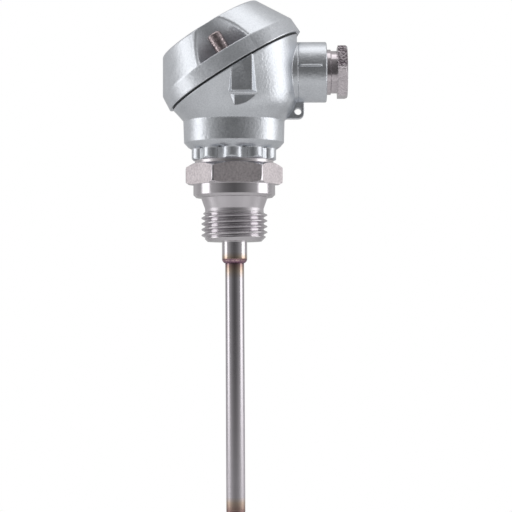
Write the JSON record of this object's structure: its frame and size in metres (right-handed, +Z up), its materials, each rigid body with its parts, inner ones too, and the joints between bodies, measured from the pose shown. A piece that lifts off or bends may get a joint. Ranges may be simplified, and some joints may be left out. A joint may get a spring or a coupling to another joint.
{
  "type": "rtd probe with terminal head",
  "caption": "Screw-in resistance thermometer: small die-cast terminal head with oblique lid and side cable gland, hexagon threaded fitting and slim closed protection tube.",
  "frame": {"origin": "centre of the sealing face under the fitting's flange, where the probe meets the process", "axes": "+Z up along the probe towards the head, -Z down the thread and the tube, +X towards the cable entry, -Y the side with the front lid screw"},
  "size_m": [0.0587, 0.0484, 0.1625],
  "materials": {
    "casting": "satin",
    "stainless": "satin",
    "weld": "satin",
    "nickel": "polished",
    "screw_nickel": "satin",
    "screw_steel": "satin",
    "brass": "satin",
    "rubber": "matte",
    "ceramic": "satin",
    "lead_red": "satin",
    "lead_white": "satin"
  },
  "bodies": {
    "head_and_probe": {"process_fitting": "stainless", "neck_seal": "stainless", "protection_tube": "stainless", "tube_weld": "weld", "tip_plug": "stainless", "rtd_element": "ceramic", "insulator_tube": "ceramic", "lead_wires_red": "lead_red", "lead_wires_white": "lead_white", "head_body": "casting", "cable_boss": "casting", "tag_lug": "casting", "gland_washer_inner": "brass", "gland_seal": "rubber", "gland_washer_outer": "brass", "terminal_block": "ceramic", "terminal_clamps": "brass", "block_screws": "screw_steel"},
    "lid": {"head_lid": "casting", "lid_gasket": "rubber"},
    "front_screw": {"lid_screw_front": "screw_nickel"},
    "back_screw": {"lid_screw_back": "screw_nickel"},
    "pressure_screw": {"gland_screw": "nickel"},
    "clamp_screw_1": {"terminal_screw_1": "screw_steel"},
    "clamp_screw_2": {"terminal_screw_2": "screw_steel"},
    "clamp_screw_3": {"terminal_screw_3": "screw_steel"},
    "clamp_screw_4": {"terminal_screw_4": "screw_steel"}
  },
  "joints": [
    {"name": "lid_lift", "type": "slide", "parent": "head_and_probe", "child": "lid", "axis": [-0.515, 0, 0.8572], "range_m": [0, 0.05]},
    {"name": "lid_screw_front_turn", "type": "hinge", "parent": "lid", "child": "front_screw", "pos_m": [-0.00289, -0.02, 0.04422], "axis": [-0.515, 0, 0.8572], "continuous": true},
    {"name": "lid_screw_back_turn", "type": "hinge", "parent": "lid", "child": "back_screw", "pos_m": [-0.00289, 0.02, 0.04422], "axis": [-0.515, 0, 0.8572], "continuous": true},
    {"name": "gland_screw_turn", "type": "hinge", "parent": "head_and_probe", "child": "pressure_screw", "pos_m": [0.03, 0, 0.0398], "axis": [1, 0, 0], "continuous": true},
    {"name": "terminal_screw_1_turn", "type": "hinge", "parent": "head_and_probe", "child": "clamp_screw_1", "pos_m": [0.0052, 0.0052, 0.0345], "axis": [0, 0, 1], "continuous": true},
    {"name": "terminal_screw_2_turn", "type": "hinge", "parent": "head_and_probe", "child": "clamp_screw_2", "pos_m": [-0.0052, 0.0052, 0.0345], "axis": [0, 0, 1], "continuous": true},
    {"name": "terminal_screw_3_turn", "type": "hinge", "parent": "head_and_probe", "child": "clamp_screw_3", "pos_m": [-0.0052, -0.0052, 0.0345], "axis": [0, 0, 1], "continuous": true},
    {"name": "terminal_screw_4_turn", "type": "hinge", "parent": "head_and_probe", "child": "clamp_screw_4", "pos_m": [0.0052, -0.0052, 0.0345], "axis": [0, 0, 1], "continuous": true}
  ]
}
